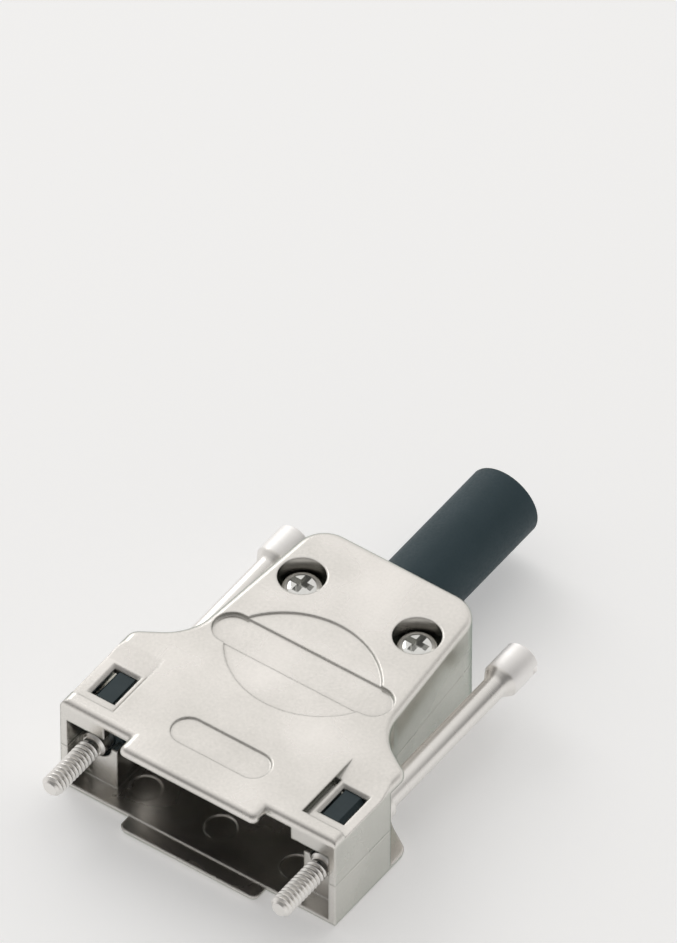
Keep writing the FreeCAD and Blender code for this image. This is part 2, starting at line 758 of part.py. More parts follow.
def draw_oval(sketch, sizes):
    """Two end arcs and two flatter flank arcs, each tangent to its neighbours."""
    end = sizes.oval_end_radius
    half_width = sizes.oval_width / 2
    reach = sizes.oval_length / 2 - end
    flank = (reach ** 2 + half_width ** 2 - end ** 2) / (2 * (half_width - end))
    sink = flank - half_width
    y = sizes.oval_centre
    turn = math.atan2(sink, reach)
    half_circle = math.pi
    right = arc(sketch, (reach, y), end, -turn, turn)
    top = arc(sketch, (0, y - sink), flank, turn, half_circle - turn)
    left = arc(sketch, (-reach, y), end, half_circle - turn, half_circle + turn)
    bottom = arc(sketch, (0, y + sink), flank, half_circle + turn, 2 * half_circle - turn)
    ring = (right, top, left, bottom)
    for first, second in zip(ring, ring[1:] + ring[:1]):
        sketch.addConstraint(Sketcher.Constraint("Tangent", first, 2, second, 1))
    radius = "Sizes.oval_end_radius"
    half_length = "(Sizes.oval_length / 2 - " + radius + ")"
    for geometry, side in ((right, ""), (left, "-")):
        fix_point(sketch, geometry, 3, (side + half_length, "Sizes.oval_centre"))
        dimension(sketch, radius, "Radius", geometry)
    wide = "(Sizes.oval_width / 2)"
    flank_radius = "(%s^2 + %s^2 - %s^2) / (2 * (%s - %s))" % (half_length, wide, radius, wide, radius)
    for geometry in (top, bottom):
        dimension(sketch, flank_radius, "Radius", geometry)


def arc(sketch, centre, radius, start, end):
    """Add an arc; its radius and centre are only a first guess for the constraints."""
    ring = Part.Circle(FreeCAD.Vector(centre[0], centre[1], 0), FreeCAD.Vector(0, 0, 1), radius)
    return sketch.addGeometry(Part.ArcOfCircle(ring, start, end))


def slot(sketch, y, length, width):
    """A slot with round ends, centred on X = 0 and lying along X."""
    lines = []
    for height in (1, -1):
        line = Part.LineSegment(FreeCAD.Vector(-3, height, 0), FreeCAD.Vector(3, height, 0))
        lines.append(sketch.addGeometry(line))
    quarter = math.pi / 2
    right = arc(sketch, (3, 0), 1, -quarter, quarter)
    left = arc(sketch, (-3, 0), 1, quarter, 3 * quarter)
    top, bottom = lines
    for end, end_point, line, line_point in (
        (right, 1, bottom, 2), (right, 2, top, 2), (left, 1, top, 1), (left, 2, bottom, 1),
    ):
        sketch.addConstraint(Sketcher.Constraint("Tangent", end, end_point, line, line_point))
    half_straight = "(" + length + " - " + width + ") / 2"
    for end, side in ((right, ""), (left, "-")):
        fix_point(sketch, end, 3, (side + half_straight, y))
        dimension(sketch, width + " / 2", "Radius", end)


def put(body, x, y, z):
    """Place a piece by expressions for its origin."""
    for axis, expression in zip("xyz", (x, y, z)):
        body.setExpression("Placement.Base." + axis, expression)


def make_screw(doc, label, length, x, y, z):
    """A pan-head screw with a cross recess; its head rests at the level z."""
    body = new_body(doc, label)
    sketch = sketch_on(body, "profile", "XZ_Plane")
    polygon(sketch, [
        ("0", "-" + length),
        ("Sizes.shank_radius - Sizes.tip_chamfer", "-" + length),
        ("Sizes.shank_radius", "-" + length + " + Sizes.tip_taper"),
        ("Sizes.shank_radius", "0"),
        ("Sizes.head_radius", "0"),
        ("Sizes.head_radius", "Sizes.head_height"),
        ("0", "Sizes.head_height"),
    ])
    revolve(body, "turned", sketch)
    sizes = body.Document.Sizes

    def crown(edge):
        box = edge.BoundBox
        return abs(box.ZMin - sizes.head_height) < NEAR and box.XLength > sizes.head_radius

    round_edges(body, "crown", crown, "Sizes.head_round")
    cross = sketch_on(body, "cross", "XY_Plane", "Sizes.head_height")
    arm = "Sizes.cross_reach"
    half = "Sizes.cross_width / 2"
    polygon(cross, [
        (half, arm), (half, half), (arm, half), (arm, "-" + half), (half, "-" + half), (half, "-" + arm),
        ("-" + half, "-" + arm), ("-" + half, "-" + half), ("-" + arm, "-" + half),
        ("-" + arm, half), ("-" + half, half), ("-" + half, arm),
    ])
    pocket(body, "recess", cross, "Sizes.cross_depth")
    put(body, x, y, z)
    return body


def make_strap(doc):
    """The stamped cable clamp: two round ends, an arch between them and a front tab."""
    body = new_body(doc, "strap")
    ends = sketch_on(body, "ends", "XY_Plane")
    slot(ends, "0", "Sizes.strap_screw_pitch + Sizes.strap_width", "Sizes.strap_width")
    pad(body, "blade", ends, "Sizes.strap_thickness")
    inner = "((Sizes.arch_span / 2)^2 + Sizes.arch_rise^2) / (2 * Sizes.arch_rise)"
    centre = "(Sizes.arch_rise - " + inner + ")"
    arch = sketch_on(body, "arch", "XZ_Plane", "-Sizes.strap_width / 2")
    circle(arch, "0", centre, inner + " + Sizes.strap_thickness")
    pad(body, "arch_disc", arch, "Sizes.strap_width")
    below = sketch_on(body, "below", "XZ_Plane", "-Sizes.strap_width / 2")
    rectangle(below, "-Sizes.arch_span", "Sizes.arch_span",
              "-2 * (" + inner + " + Sizes.strap_thickness)", "0")
    pocket(body, "flat_underside", below, "Sizes.strap_width", reverse=True)
    hollow = sketch_on(body, "hollow", "XZ_Plane", "-Sizes.strap_width / 2")
    circle(hollow, "0", centre, inner)
    pocket(body, "arch_hollow", hollow, "Sizes.strap_width", reverse=True)
    tab = sketch_on(body, "tab", "XY_Plane", "Sizes.arch_rise - Sizes.tab_drop")
    front = "-Sizes.strap_width / 2 - Sizes.tab_reach"
    rectangle(tab, "-Sizes.tab_width / 2", "Sizes.tab_width / 2", front,
              "-Sizes.strap_width / 2 + Sizes.tab_root")
    pad(body, "front_tab", tab, "Sizes.strap_thickness")
    window = sketch_on(body, "window", "XY_Plane", "Sizes.arch_rise - Sizes.tab_drop + Sizes.strap_thickness")
    half = "Sizes.tab_window / 2"
    middle = "(-Sizes.strap_width / 2 - Sizes.tab_window_setback)"
    rectangle(window, "-" + half, half, middle + " - " + half, middle + " + " + half)
    pocket(body, "tab_window", window, "Sizes.strap_thickness")
    holes = sketch_on(body, "holes", "XY_Plane", "Sizes.strap_thickness")
    for side in ("-", ""):
        circle(holes, side + "Sizes.strap_screw_pitch / 2", "0", "Sizes.shank_radius + Sizes.thread_gap")
    pocket(body, "screw_holes", holes, "Sizes.strap_thickness")
    put(body, "0", STRAP_SCREW_ROW, "Sizes.half_height - Sizes.strap_boss_drop")
    return body


SADDLE_HEIGHT = ("(Sizes.half_height - Sizes.strap_boss_drop - Sizes.plate"
                 " - Sizes.seat_height - Sizes.seat_gap)")


def make_saddle(doc):
    """The cable rest: a block with a ribbed trough, centred on its own origin."""
    body = new_body(doc, "saddle")
    block = sketch_on(body, "block", "XY_Plane")
    rectangle(block, "-Sizes.saddle_width / 2", "Sizes.saddle_width / 2", "0", "Sizes.saddle_depth")
    pad(body, "solid_block", block, SADDLE_HEIGHT)
    centre = SADDLE_HEIGHT + " + Sizes.saddle_centre_lift"
    rib = "Sizes.saddle_trough_radius - Sizes.saddle_groove"
    deep = "Sizes.saddle_trough_radius"
    whole = "Sizes.saddle_depth + 2 * Sizes.overrun"
    cut_along_depth(body, "trough", [("0", centre, rib)], "-Sizes.overrun", whole)
    groove_width = "Sizes.saddle_groove_pitch / 2"
    for i in range(3):
        front = "((%d + Sizes.saddle_first_groove) * Sizes.saddle_groove_pitch)" % i
        rear = "Sizes.saddle_depth - " + front + " - " + groove_width
        cut_along_depth(body, "front_groove_%d" % i, [("0", centre, deep)], front, groove_width)
        cut_along_depth(body, "rear_groove_%d" % i, [("0", centre, deep)], rear, groove_width)
    middle = "(3 * Sizes.saddle_groove_pitch)"
    span = "Sizes.saddle_depth - 2 * " + middle
    cut_along_depth(body, "middle", [("0", centre, deep + " + Sizes.saddle_middle_drop")], middle, span)
    notch = sketch_on(body, "notch", "XY_Plane", SADDLE_HEIGHT)
    side = "-Sizes.saddle_width / 2"
    rectangle(notch, side + " - Sizes.overrun", side + " + Sizes.saddle_notch_reach", middle,
              "Sizes.saddle_depth - " + middle)
    pocket(body, "side_notch", notch, "Sizes.saddle_notch_depth")
    step = sketch_on(body, "step", "YZ_Plane", side + " - Sizes.overrun")
    rear = "Sizes.saddle_depth"
    foot = "Sizes.saddle_foot_step"
    recess = rear + " - Sizes.saddle_rear_recess"
    notch_rear = recess + " - Sizes.saddle_foot_length"
    notch_front = notch_rear + " - Sizes.saddle_foot_notch"
    shelf = SADDLE_HEIGHT + " - Sizes.saddle_shelf"
    polygon(step, [
        (notch_front, "-Sizes.overrun"),
        (notch_front, foot),
        (notch_rear, foot),
        (notch_rear, foot + " / 2"),
        (recess, foot + " / 2"),
        (recess, shelf),
        (rear + " + Sizes.overrun", shelf),
        (rear + " + Sizes.overrun", "-Sizes.overrun"),
    ])
    pocket(body, "stepped_rear", step, "Sizes.saddle_width + 2 * Sizes.overrun", reverse=True)
    put(body, "0", SEAT_FRONT + " + 2 * Sizes.fit_gap", "Sizes.plate + Sizes.seat_height")
    return body


def make_collar(doc, label, turn):
    """Half of the collar round the boot's flange; the upper one is the same piece turned over."""
    body = new_body(doc, label)
    outline = sketch_on(body, "outline", "XZ_Plane")
    half = "Sizes.collar_width / 2"
    low = "-Sizes.collar_half_height"
    chamfer = "Sizes.collar_chamfer"
    bulge = "Sizes.boot_radius"
    polygon(outline, [
        (half, "-Sizes.fit_gap"),
        (half, low + " + " + chamfer),
        (half + " - " + chamfer, low),
        ("-" + half + " + " + chamfer, low),
        ("-" + half, low + " + " + chamfer),
        ("-" + half, "-Sizes.fit_gap"),
    ])
    pad(body, "block", outline, "Sizes.collar_depth", reverse=True)
    swell = sketch_on(body, "swell", "XZ_Plane", "-(Sizes.collar_depth - Sizes.collar_web)")
    polygon(swell, [
        (bulge, low + " + Sizes.collar_bulge"),
        (bulge, low),
        (bulge + " - Sizes.bulge_slope", low + " - Sizes.collar_bulge"),
        ("-" + bulge + " + Sizes.bulge_slope", low + " - Sizes.collar_bulge"),
        ("-" + bulge, low),
        ("-" + bulge, low + " + Sizes.collar_bulge"),
    ])
    pad(body, "rear_swell", swell, "Sizes.collar_web", reverse=True)
    channel = sketch_on(body, "channel", "XZ_Plane", "Sizes.overrun")
    inner = "(" + half + " - Sizes.collar_wall)"
    floor = "(" + low + " + Sizes.collar_wall)"
    cut = "Sizes.channel_chamfer"
    polygon(channel, [
        (inner, "Sizes.overrun"),
        (inner, floor + " + " + cut),
        (inner + " - " + cut, floor),
        ("-" + inner + " + " + cut, floor),
        ("-" + inner, floor + " + " + cut),
        ("-" + inner, "Sizes.overrun"),
    ])
    pocket(body, "flange_channel", channel, "Sizes.collar_depth - Sizes.collar_web + Sizes.overrun")
    tube = [("0", "0", "Sizes.boot_radius + Sizes.fit_gap")]
    cut_along_depth(body, "tube_way", tube, "-Sizes.overrun", "Sizes.collar_depth + 2 * Sizes.overrun")
    put(body, "0", COLLAR_REAR + " - Sizes.collar_depth - Sizes.fit_gap", "Sizes.half_height")
    body.Placement.Rotation = FreeCAD.Rotation(FreeCAD.Vector(0, 1, 0), turn)
    return body


def make_boot(doc):
    """The moulded bend-relief sleeve with its square flange inside the collars."""
    body = new_body(doc, "boot")
    flange = sketch_on(body, "flange", "XZ_Plane")
    half_x = "(Sizes.collar_width / 2 - Sizes.collar_wall - Sizes.fit_gap)"
    half_z = "(Sizes.collar_half_height - Sizes.collar_wall - Sizes.fit_gap)"
    cut = "Sizes.flange_chamfer"
    polygon(flange, [
        (half_x, "-" + half_z + " + " + cut), (half_x, half_z + " - " + cut),
        (half_x + " - " + cut, half_z), ("-" + half_x + " + " + cut, half_z),
        ("-" + half_x, half_z + " - " + cut), ("-" + half_x, "-" + half_z + " + " + cut),
        ("-" + half_x + " + " + cut, "-" + half_z), (half_x + " - " + cut, "-" + half_z),
    ])
    pad(body, "flange_plate", flange, "Sizes.flange_thickness", reverse=True)
    thickness = body.Document.Sizes.flange_thickness

    def flange_rim(edge):
        box = edge.BoundBox
        return box.YLength < NEAR and (abs(box.YMin) < NEAR or abs(box.YMin - thickness) < NEAR)

    round_edges(body, "flange_edges", flange_rim, "Sizes.flange_round")
    tube = sketch_on(body, "tube", "XZ_Plane")
    circle(tube, "0", "0", "Sizes.boot_radius")
    pad(body, "sleeve", tube, "Sizes.boot_length", reverse=True)
    bore = [("0", "0", "Sizes.boot_bore_radius")]
    cut_along_depth(body, "bore", bore, "-Sizes.overrun", "Sizes.boot_length + 2 * Sizes.overrun")
    web_front = COLLAR_REAR + " - Sizes.fit_gap - Sizes.collar_web"
    put(body, "0", web_front + " - Sizes.flange_thickness - Sizes.fit_gap", "Sizes.half_height")
    return body


def make_jackscrew(doc, label, side):
    """The long turned screw, its tip at its own origin and its head at the far end."""
    body = new_body(doc, label)
    sketch = sketch_on(body, "profile", "XY_Plane")
    thread_end = "Sizes.jack_thread_length"
    neck_end = thread_end + " + Sizes.jack_neck_length"
    groove = "Sizes.jack_groove_start"
    after_groove = groove + " + Sizes.jack_groove_width"
    second = groove + " + Sizes.jack_groove_pitch"
    after_second = second + " + Sizes.jack_groove_width"
    ring = "Sizes.jack_collar_start"
    ring_end = ring + " + Sizes.jack_collar_length"
    shaft_end = "Sizes.jack_shaft_end"
    flare_end = shaft_end + " + Sizes.jack_flare_length"
    head_end = flare_end + " + Sizes.jack_head_length"
    body_radius = "Sizes.jack_body_radius"
    groove_radius = body_radius + " - Sizes.jack_groove_depth"
    bevel = "Sizes.jack_chamfer"
    polygon(sketch, [
        ("0", "0"),
        ("Sizes.jack_thread_radius - Sizes.jack_tip_chamfer", "0"),
        ("Sizes.jack_thread_radius", "Sizes.jack_tip_chamfer"),
        ("Sizes.jack_thread_radius", thread_end),
        ("Sizes.jack_neck_radius", thread_end),
        ("Sizes.jack_neck_radius", neck_end),
        (body_radius + " - " + bevel, neck_end),
        (body_radius, neck_end + " + " + bevel),
        (body_radius, groove),
        (groove_radius, groove),
        (groove_radius, after_groove),
        (body_radius, after_groove),
        (body_radius, second),
        (groove_radius, second),
        (groove_radius, after_second),
        (body_radius, after_second),
        (body_radius, ring + " - " + bevel),
        ("Sizes.jack_collar_radius", ring),
        ("Sizes.jack_collar_radius", ring_end),
        ("Sizes.jack_shaft_radius", ring_end + " + " + bevel),
        ("Sizes.jack_shaft_radius", shaft_end),
        ("Sizes.jack_head_radius", flare_end),
        ("Sizes.jack_head_radius", head_end + " - " + bevel),
        ("Sizes.jack_head_radius - " + bevel, head_end),
        ("0", head_end),
    ])
    revolve(body, "turned", sketch)
    slots = sketch_on(body, "slots", "XZ_Plane", "-(" + head_end + ")")
    arm = "Sizes.jack_head_radius + Sizes.overrun"
    half = "Sizes.jack_slot_width / 2"
    rectangle(slots, "-(" + arm + ")", arm, "-" + half, half)
    pocket(body, "driver_slot", slots, "Sizes.jack_slot_depth", reverse=True)
    put(body, side + PITCH, "-Sizes.tip_reach", "Sizes.half_height")
    return body


def make_clip(doc, label, side):
    """The moulded clip that snaps round the jackscrew and hooks into the cover's window."""
    body = new_body(doc, label)
    depth = "(Sizes.pocket_depth - 2 * Sizes.fit_gap)"
    outer = "((" + POCKET_OUTER + " - (" + POCKET_INNER + ")) / 2 - Sizes.fit_gap)"
    foot = "(Sizes.plate + Sizes.pocket_floor - Sizes.half_height)"
    gap = "Sizes.clip_foot_gap / 2"
    plate_top = "Sizes.clip_plate_top"
    arm_top = "Sizes.clip_arm_top"
    bridge = "Sizes.clip_bridge_top"
    hook = "(Sizes.window_width / 2 - Sizes.clip_hook_gap)"
    barb = "-" + outer + " - Sizes.clip_barb_reach"
    corners = [
        (outer, foot),
        (outer, plate_top + " - Sizes.clip_chamfer"),
        (outer + " - Sizes.clip_chamfer", plate_top),
        (outer + " - Sizes.clip_wall", plate_top),
        (outer + " - Sizes.clip_wall", bridge),
        ("-Sizes.clip_arm_root", bridge),
        ("-Sizes.clip_arm_lean", arm_top + " - Sizes.clip_hook_height"),
        (hook, arm_top + " - Sizes.clip_hook_height"),
        (hook, arm_top + " - Sizes.clip_hook_lead"),
        (hook + " - Sizes.clip_chamfer", arm_top),
        ("-" + hook, arm_top),
        ("-" + hook, arm_top + " - Sizes.clip_back_lead"),
        ("-Sizes.clip_back_reach", "Sizes.clip_back_top"),
        ("-" + outer, "Sizes.clip_barb_top"),
        (barb, bridge),
        (barb, "Sizes.fit_gap"),
        ("-" + outer, "Sizes.fit_gap"),
        ("-" + outer, foot + " + Sizes.clip_toe_height"),
        ("-" + gap + " - Sizes.clip_foot_taper", foot + " + Sizes.clip_toe_height"),
        ("-" + gap, foot + " + Sizes.clip_foot_height"),
        (gap, foot + " + Sizes.clip_foot_height"),
        (gap + " + Sizes.clip_foot_taper", foot),
    ]
    section = sketch_on(body, "section", "XZ_Plane")
    sign = "-1" if side else "1"
    polygon(section, [("%s * (%s)" % (sign, x), z) for x, z in corners])
    pad(body, "moulding", section, depth, reverse=True)
    bead = "Sizes.jack_groove_start - Sizes.tip_reach - Sizes.pocket_front - Sizes.fit_gap"
    running = "Sizes.thread_gap"
    body_radius = "Sizes.jack_body_radius + " + running
    bead_radius = body_radius + " - Sizes.jack_groove_depth"
    start = "-Sizes.overrun"
    past = "Sizes.overrun + "
    cut_along_depth(body, "bead_way", [("0", "0", bead_radius)], start, past + past + depth)
    cut_along_depth(body, "front_way", [("0", "0", body_radius)], start, past + bead + " + " + running)
    cut_along_depth(body, "rear_way", [("0", "0", body_radius)],
                    bead + " + Sizes.jack_groove_width - " + running, depth)
    put(body, side + PITCH, "Sizes.pocket_front + Sizes.fit_gap", "Sizes.half_height")
    return body


def make_pieces(doc, sizes):
    """All the pieces of the hood, each where it sits in the closed hood."""
    cover_seat = "2 * Sizes.half_height - Sizes.head_recess_depth"
    strap_seat = "Sizes.half_height - Sizes.strap_boss_drop + Sizes.strap_thickness"
    pieces = [make_lower_shell(doc, sizes), make_cover(doc, sizes)]
    for name, side in (("left", "-"), ("right", "")):
        pieces.append(make_screw(doc, "cover_screw_" + name, "Sizes.cover_screw_length",
                                 side + "Sizes.cover_screw_pitch / 2", COVER_SCREW_ROW, cover_seat))
        pieces.append(make_screw(doc, "strap_screw_" + name, "Sizes.strap_screw_length",
                                 side + "Sizes.strap_screw_pitch / 2", STRAP_SCREW_ROW, strap_seat))
        pieces.append(make_jackscrew(doc, "jackscrew_" + name, side))
        pieces.append(make_clip(doc, "clip_" + name, side))
    pieces.append(make_strap(doc))
    pieces.append(make_saddle(doc))
    pieces.append(make_collar(doc, "collar_lower", 0))
    pieces.append(make_collar(doc, "collar_upper", 180))
    pieces.append(make_boot(doc))
    return pieces


def main():
    doc = FreeCAD.newDocument("hood")
    sheet = make_sheet(doc)
    pieces = make_pieces(doc, sheet)
    doc.recompute()
    for item in doc.Objects:
        if "Invalid" in item.State or "Error" in item.State:
            raise RuntimeError("failed object: %s %s %s" % (item.Name, item.Label, item.State))
    os.makedirs("parts", exist_ok=True)
    for piece in pieces:
        shape = piece.Shape
        if shape.isNull() or not shape.isValid():
            raise RuntimeError("bad shape: " + piece.Label)
        shape.exportStep("parts/" + piece.Label + ".step")


main()
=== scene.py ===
import math
from collections import namedtuple

import bmesh
import bpy
from mathutils import Matrix, Vector


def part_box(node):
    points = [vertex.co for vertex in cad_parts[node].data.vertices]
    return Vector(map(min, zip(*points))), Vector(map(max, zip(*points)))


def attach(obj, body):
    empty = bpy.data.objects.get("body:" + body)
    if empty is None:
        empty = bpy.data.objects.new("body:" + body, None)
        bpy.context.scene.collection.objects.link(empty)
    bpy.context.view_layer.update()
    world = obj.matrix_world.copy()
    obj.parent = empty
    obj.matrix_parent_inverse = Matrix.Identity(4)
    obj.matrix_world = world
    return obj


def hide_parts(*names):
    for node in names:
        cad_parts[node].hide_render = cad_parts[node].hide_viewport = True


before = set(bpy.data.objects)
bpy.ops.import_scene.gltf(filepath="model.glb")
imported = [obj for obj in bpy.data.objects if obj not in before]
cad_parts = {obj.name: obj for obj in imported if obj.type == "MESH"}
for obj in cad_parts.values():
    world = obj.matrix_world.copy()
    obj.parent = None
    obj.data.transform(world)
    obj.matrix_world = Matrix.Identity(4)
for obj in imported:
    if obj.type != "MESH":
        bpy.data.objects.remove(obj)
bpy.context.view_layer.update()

MM = 0.001
ALONG = (0, 1, 0)
UPWARD = (0, 0, 1)

# The photograph's frame and camera, in pixels, radians and metres
PHOTO_WIDTH = 677
PHOTO_HEIGHT = 943
AZIMUTH = math.radians(35.5)
ELEVATION = math.radians(46.3)
CAMERA_DISTANCE = 2.5
PIXELS_PER_METRE = 8427
AIM_POINT = Vector((0, 0.020, 0.0075))
AIM_PIXEL = (295.9, 714.0)
SENSOR = 36.0
NEAREST_VIEW = 0.01

# The room is brightest behind and above the hood and dim towards the camera, with levels
# where 1 is white. The cosine with the brightest direction tells where it is dim or bright.
ROOM_COLOUR = (1, 0.985, 0.965, 1)
DIM_LEVEL = 0.20
DIM_BELOW = 0.1
BRIGHT_LEVEL = 0.88
BRIGHT_ABOVE = 0.8

# A pale band lies round the room's horizon. It begins to fade at the sine of one height
# above the horizon and has faded out at the other.
BAND_LEVEL = 0.80
BAND_TOP = 0.26
BAND_FADE = 0.42

# The soft lamp at the rear left, in metres and watts
LAMP_PLACE = Vector((-1.0, 0.45, 0.75))
LAMP_TARGET = Vector((0, 0.02, 0.02))
LAMP_SIZE = 0.9
LAMP_WATTS = 3

# The floor, in metres, with the glow that the camera and shiny surfaces see on it
FLOOR_RADIUS = 20
FLOOR_SIDES = 96
FLOOR_COLOUR = (0.90, 0.90, 0.90, 1)
FLOOR_GLOW = 0.22

# Where the jackscrews' heads begin along the hood, and the blur of that border
JACK_HEAD_START = 38.5 * MM
JACK_HEAD_BLUR = 0.1 * MM

# Threads by their radii and pitch. A hole's thread is rooted outside its crest.
Thread = namedtuple("Thread", "root crest pitch")
SCREW_THREAD = Thread(root=1.14 * MM, crest=1.42 * MM, pitch=0.5 * MM)
HOLE_THREAD = Thread(root=1.74 * MM, crest=1.50 * MM, pitch=0.5 * MM)
JACK_THREAD = Thread(root=1.08 * MM, crest=1.42 * MM, pitch=0.635 * MM)

# Where the threads lie: the jackscrews' stretch, the floor of the holes over the underside,
# the pan heads with their plain necks, and how far a cutter starts outside a tip
JACK_THREAD_LENGTH = 8.2 * MM
HOLE_FLOOR = 0.9 * MM
HEAD_HEIGHT = 2.3 * MM
PLAIN_NECK = 1.0 * MM
RUN_OUT = 0.2 * MM

# The cutter of a thread: its steps, its half width as a share of the pitch, and how far it
# reaches past the crest as a share of the thread's depth
STEPS_PER_TURN = 24
HALF_WIDTH = 0.43
REACH = 0.75

# Pieces cut here stay sharp at edges past this angle, and points this near are one
SHARP_ANGLE = math.radians(35)
WELD = 0.0001 * MM

# Rays that feel out a hollow for its painted shade, and a softened edge, at each point
HOLLOW_SHADE_SAMPLES = 8
EDGE_SAMPLES = 4

PAN_HEADS = ("cover_screw_left", "cover_screw_right", "strap_screw_left", "strap_screw_right")
JACKSCREWS = ("jackscrew_left", "jackscrew_right")


def add_object(name, data):
    """Put a new object with this data in the scene."""
    thing = bpy.data.objects.new(name, data)
    bpy.context.scene.collection.objects.link(thing)
    return thing


def make_camera():
    """A long lens that puts the lower shell where the photograph has it."""
    sin_a, cos_a = math.sin(AZIMUTH), math.cos(AZIMUTH)
    sin_e, cos_e = math.sin(ELEVATION), math.cos(ELEVATION)
    right = Vector((cos_a, sin_a, 0))
    up = Vector((-sin_a * sin_e, cos_a * sin_e, cos_e))
    back = Vector((sin_a * cos_e, -cos_a * cos_e, sin_e))
    across = (PHOTO_WIDTH / 2 - AIM_PIXEL[0]) / PIXELS_PER_METRE
    above = (AIM_PIXEL[1] - PHOTO_HEIGHT / 2) / PIXELS_PER_METRE
    centre = AIM_POINT + right * across + up * above
    data = bpy.data.cameras.new("camera")
    data.sensor_fit = "HORIZONTAL"
    data.sensor_width = SENSOR
    data.lens = SENSOR * CAMERA_DISTANCE * PIXELS_PER_METRE / PHOTO_WIDTH
    data.clip_start = NEAREST_VIEW
    data.clip_end = 2 * FLOOR_RADIUS
    camera = add_object("camera", data)
    place = Matrix((right, up, back)).transposed().to_4x4()
    place.translation = centre + back * CAMERA_DISTANCE
    camera.matrix_world = place
    bpy.context.scene.camera = camera


class Nodes:
    """Adds and joins the nodes of one tree."""

    def __init__(self, tree):
        self.tree = tree

    def add(self, kind, **values):
        node = self.tree.nodes.new(kind)
        for name, value in values.items():
            setattr(node, name, value)
        return node

    def link(self, source, target):
        self.tree.links.new(source, target)

    def ramp(self, value, start, end, first, last):
        """Go from the first to the last level while the value goes from start to end."""
        span = self.add("ShaderNodeMapRange")
        span.inputs["From Min"].default_value = start
        span.inputs["From Max"].default_value = end
        span.inputs["To Min"].default_value = first
        span.inputs["To Max"].default_value = last
        self.link(value, span.inputs["Value"])
        return span.outputs["Result"]

    def larger(self, first, second):
        """The larger of two values."""
        node = self.add("ShaderNodeMath", operation="MAXIMUM")
        self.link(first, node.inputs[0])
        self.link(second, node.inputs[1])
        return node.outputs["Value"]

    def axis(self, place, letter):
        """One coordinate of a place."""
        split = self.add("ShaderNodeSeparateXYZ")
        self.link(place, split.inputs["Vector"])
        return split.outputs[letter]


class Surface(Nodes):
    """A node material built step by step round one Principled shader."""

    def __init__(self, name, metallic=0.0):
        self.material = bpy.data.materials.new(name)
        self.material.use_nodes = True
        super().__init__(self.material.node_tree)
        self.shader = self.tree.nodes["Principled BSDF"]
        self.place = self.add("ShaderNodeTexCoord").outputs["Object"]
        self.normal = None
        self.set("Metallic", metallic)

    def set(self, socket, value):
        self.shader.inputs[socket].default_value = value

    def noise(self, scale, detail=2.0, roughness=0.5, stretch=(1, 1, 1)):
        """Noise with features of about 1 / scale metres."""
        mapping = self.add("ShaderNodeMapping")
        mapping.inputs["Scale"].default_value = stretch
        self.link(self.place, mapping.inputs["Vector"])
        noise = self.add("ShaderNodeTexNoise")
        noise.inputs["Scale"].default_value = scale
        noise.inputs["Detail"].default_value = detail
        noise.inputs["Roughness"].default_value = roughness
        self.link(mapping.outputs["Vector"], noise.inputs["Vector"])
        return noise.outputs["Fac"]

    def spread(self, value, low, high, centre=0.5, half=0.2):
        """Map a noise value round its centre to the range low to high."""
        return self.ramp(value, centre - half, centre + half, low, high)

    def sum(self, first, second, share):
        """first plus share times second."""
        node = self.add("ShaderNodeMath", operation="MULTIPLY_ADD")
        self.link(second, node.inputs[0])
        node.inputs[1].default_value = share
        self.link(first, node.inputs[2])
        return node.outputs["Value"]

    def tint(self, value, dark, light):
        """Drive the base colour from dark to light, as the value goes from 0 to 1."""
        mix = self.add("ShaderNodeMix", data_type="RGBA")
        mix.inputs["A"].default_value = (*dark, 1)
        mix.inputs["B"].default_value = (*light, 1)
        self.link(value, mix.inputs["Factor"])
        self.link(mix.outputs["Result"], self.shader.inputs["Base Color"])

    def tint_patches(self, noise, dark, light):
        """Cloud the base colour between two colours."""
        self.tint(self.spread(noise, 0, 1), dark, light)

    def paint_shade_in_hollows(self, distance, share=0.6):
        """Painted shade: darken the base colour in the piece's own hollows, out to the distance
        from their walls.
        """
        # An ambient occlusion mask paints shade into the base colour where the piece's own walls
        # close round a point.
        hollow_shade = self.add("ShaderNodeAmbientOcclusion", samples=HOLLOW_SHADE_SAMPLES, only_local=True)
        hollow_shade.inputs["Distance"].default_value = distance
        mix = self.add("ShaderNodeMix", data_type="RGBA")
        mix.inputs["Factor"].default_value = share
        colour = self.shader.inputs["Base Color"]
        source = colour.links[0].from_socket
        for target in (hollow_shade.inputs["Color"], mix.inputs["A"]):
            self.link(source, target)
        self.link(hollow_shade.outputs["Color"], mix.inputs["B"])
        self.link(mix.outputs["Result"], colour)

    def rough(self, value):
        self.link(value, self.shader.inputs["Roughness"])

    def turn_normal(self, normal):
        """Make this the normal of the shader and of the next relief."""
        self.normal = normal
        self.link(normal, self.shader.inputs["Normal"])

    def soften_edges(self, radius):
        """Let light catch the edges as if they had this small radius."""
        bevel = self.add("ShaderNodeBevel", samples=EDGE_SAMPLES)
        bevel.inputs["Radius"].default_value = radius
        self.turn_normal(bevel.outputs["Normal"])

    def relief(self, value, depth, strength):
        """Add a bump of a real depth in metres on top of the earlier ones."""
        bump = self.add("ShaderNodeBump")
        bump.inputs["Distance"].default_value = depth
        bump.inputs["Strength"].default_value = strength
        self.link(value, bump.inputs["Height"])
        if self.normal is not None:
            self.link(self.normal, bump.inputs["Normal"])
        self.turn_normal(bump.outputs["Normal"])


